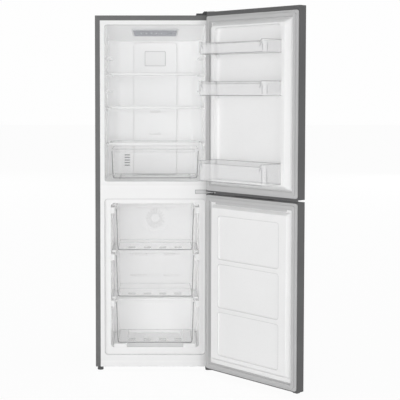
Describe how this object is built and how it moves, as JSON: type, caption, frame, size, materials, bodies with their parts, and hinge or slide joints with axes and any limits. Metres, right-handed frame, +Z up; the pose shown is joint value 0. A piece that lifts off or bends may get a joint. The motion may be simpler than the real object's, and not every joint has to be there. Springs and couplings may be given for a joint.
{
  "type": "refrigerator",
  "caption": "Grey free-standing refrigerator with a freezer below, white inside, both right-hung doors open, clear bins, glass shelves and freezer drawers",
  "frame": {"origin": "on the floor, under the middle of the cabinet's footprint", "axes": "X to the right as seen from the front, Y to the back so that the front faces -Y, Z up"},
  "size_m": [0.9827, 1.0862, 1.8],
  "materials": {
    "grey_paint": "satin silver-grey paint",
    "galvanised": "galvanised sheet",
    "dark_steel": "black enamel",
    "foam": "rigid foam, never seen",
    "white_plastic": "white moulded liner",
    "panel_grey": "grey-blue panel film",
    "frosted_plastic": "frosted lamp lens",
    "dark_plastic": "dark grey moulding",
    "gasket_grey": "light grey soft vinyl",
    "clear_plastic": "clear moulded tray",
    "shelf_glass": "toughened shelf glass",
    "black_rubber": "rubber buffer",
    "fin_aluminium": "plain fins"
  },
  "bodies": {
    "cabinet": {"cabinet_shell": "grey_paint", "back_panel": "galvanised", "base_pan": "galvanised", "insulation": "foam", "kick_plate": "white_plastic", "mid_rail": "white_plastic", "fridge_liner": "white_plastic", "freezer_liner": "white_plastic", "air_duct_cover": "white_plastic", "lamp_cover": "frosted_plastic", "return_air_grille": "white_plastic", "control_bezel": "panel_grey", "control_face": "panel_grey", "top_hinge": "galvanised", "top_hinge_cover": "dark_plastic", "mid_hinge": "galvanised", "bottom_hinge": "dark_steel", "hinge_screws": "galvanised", "compressor_deck": "galvanised", "roller_axles": "galvanised", "compressor": "dark_steel", "compressor_mounts": "black_rubber", "drip_tray": "dark_plastic", "compressor_cover": "galvanised", "cable_gland": "dark_plastic", "freezer_back_cover": "white_plastic", "evaporator": "fin_aluminium", "fan_motor": "dark_plastic"},
    "fridge_door": {"fridge_door_skin": "grey_paint", "fridge_door_foam": "foam", "fridge_door_liner": "white_plastic", "fridge_door_gasket": "gasket_grey", "fridge_door_top_cap": "dark_plastic", "fridge_door_bottom_cap": "dark_plastic"},
    "freezer_door": {"freezer_door_skin": "grey_paint", "freezer_door_foam": "foam", "freezer_door_liner": "white_plastic", "freezer_door_gasket": "gasket_grey", "freezer_door_top_cap": "dark_plastic", "freezer_door_bottom_cap": "dark_plastic"},
    "upper_bin": {"upper_bin": "clear_plastic"},
    "middle_bin": {"middle_bin": "clear_plastic"},
    "lower_bin": {"lower_bin": "clear_plastic"},
    "upper_shelf": {"upper_shelf_glass": "shelf_glass", "upper_shelf_trim": "white_plastic"},
    "lower_shelf": {"lower_shelf_glass": "shelf_glass", "lower_shelf_trim": "white_plastic"},
    "crisper_cover": {"crisper_cover_glass": "shelf_glass", "crisper_cover_trim": "white_plastic"},
    "crisper_drawer": {"crisper_drawer": "clear_plastic"},
    "freezer_drawer_top": {"freezer_drawer_top": "clear_plastic"},
    "freezer_drawer_middle": {"freezer_drawer_middle": "clear_plastic"},
    "freezer_drawer_bottom": {"freezer_drawer_bottom": "clear_plastic"},
    "temperature_button": {"temperature_button": "panel_grey"},
    "fan": {"fan_blade": "dark_plastic"},
    "front_left_foot": {"front_left_foot": "dark_plastic"},
    "front_right_foot": {"front_right_foot": "dark_plastic"},
    "rear_left_roller": {"rear_left_roller": "dark_plastic"},
    "rear_right_roller": {"rear_right_roller": "dark_plastic"}
  },
  "joints": [
    {"name": "fridge_door_hinge", "type": "hinge", "parent": "cabinet", "child": "fridge_door", "pos_m": [0.2825, -0.3245, 0.91], "axis": [0, 0, 1], "range_deg": [-132, 8]},
    {"name": "freezer_door_hinge", "type": "hinge", "parent": "cabinet", "child": "freezer_door", "pos_m": [0.2825, -0.3245, 0.024], "axis": [0, 0, 1], "range_deg": [-132, 8]},
    {"name": "upper_bin_lift", "type": "slide", "parent": "fridge_door", "child": "upper_bin", "axis": [0, 0, 1], "range_m": [0, 0.03]},
    {"name": "middle_bin_lift", "type": "slide", "parent": "fridge_door", "child": "middle_bin", "axis": [0, 0, 1], "range_m": [0, 0.03]},
    {"name": "lower_bin_lift", "type": "slide", "parent": "fridge_door", "child": "lower_bin", "axis": [0, 0, 1], "range_m": [0, 0.03]},
    {"name": "upper_shelf_slide", "type": "slide", "parent": "cabinet", "child": "upper_shelf", "axis": [0, -1, 0], "range_m": [0, 0.3]},
    {"name": "lower_shelf_slide", "type": "slide", "parent": "cabinet", "child": "lower_shelf", "axis": [0, -1, 0], "range_m": [0, 0.3]},
    {"name": "crisper_cover_slide", "type": "slide", "parent": "cabinet", "child": "crisper_cover", "axis": [0, -1, 0], "range_m": [0, 0.3]},
    {"name": "crisper_slide", "type": "slide", "parent": "cabinet", "child": "crisper_drawer", "axis": [0, -1, 0], "range_m": [0, 0.28]},
    {"name": "freezer_drawer_top_slide", "type": "slide", "parent": "cabinet", "child": "freezer_drawer_top", "axis": [0, -1, 0], "range_m": [0, 0.32]},
    {"name": "freezer_drawer_middle_slide", "type": "slide", "parent": "cabinet", "child": "freezer_drawer_middle", "axis": [0, -1, 0], "range_m": [0, 0.32]},
    {"name": "freezer_drawer_bottom_slide", "type": "slide", "parent": "cabinet", "child": "freezer_drawer_bottom", "axis": [0, -1, 0], "range_m": [0, 0.26]},
    {"name": "temperature_button_press", "type": "slide", "parent": "cabinet", "child": "temperature_button", "axis": [0, 0.1365, 0.9906], "range_m": [0, 0.0012], "stiffness_N_per_m": 600},
    {"name": "fan_spin", "type": "hinge", "parent": "cabinet", "child": "fan", "pos_m": [0, 0.1485, 0.723], "axis": [0, 1, 0], "continuous": true},
    {"name": "front_left_foot_turn", "type": "hinge", "parent": "cabinet", "child": "front_left_foot", "pos_m": [-0.2755, -0.2515, 0], "axis": [0, 0, 1], "continuous": true},
    {"name": "front_right_foot_turn", "type": "hinge", "parent": "cabinet", "child": "front_right_foot", "pos_m": [0.2755, -0.2515, 0], "axis": [0, 0, 1], "continuous": true},
    {"name": "rear_left_roller_spin", "type": "hinge", "parent": "cabinet", "child": "rear_left_roller", "pos_m": [-0.2375, 0.2275, 0.015], "axis": [1, 0, 0], "continuous": true},
    {"name": "rear_right_roller_spin", "type": "hinge", "parent": "cabinet", "child": "rear_right_roller", "pos_m": [0.2375, 0.2275, 0.015], "axis": [1, 0, 0], "continuous": true}
  ]
}
